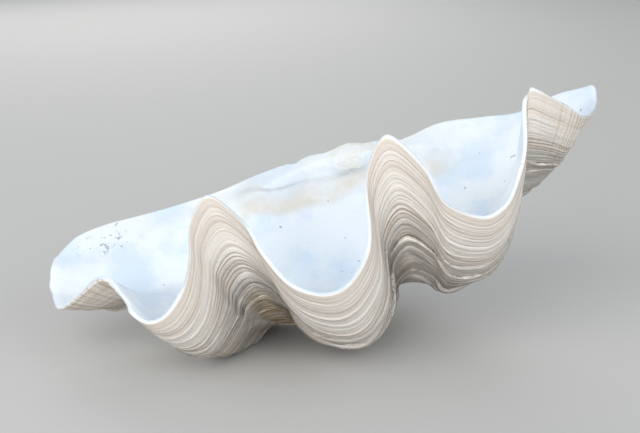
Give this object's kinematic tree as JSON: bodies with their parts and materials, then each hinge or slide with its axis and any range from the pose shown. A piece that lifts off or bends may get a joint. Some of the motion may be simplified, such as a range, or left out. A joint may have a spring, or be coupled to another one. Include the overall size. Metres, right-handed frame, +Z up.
{
  "type": "giant clam shell",
  "caption": "One valve of a giant clam shell, an open fluted bowl with deep rounded ribs and a wavy rim, lying on the backs of its ribs.",
  "frame": {"origin": "on the table, under the middle of the bounds", "axes": "+X along the hinge line, towards the high end; -Y towards the front rim; +Z up"},
  "size_m": [0.574, 0.315, 0.2943],
  "materials": {
    "shell": "matt chalky outside, smooth white bowl"
  },
  "bodies": {
    "root": {"shell": "shell"}
  },
  "joints": []
}
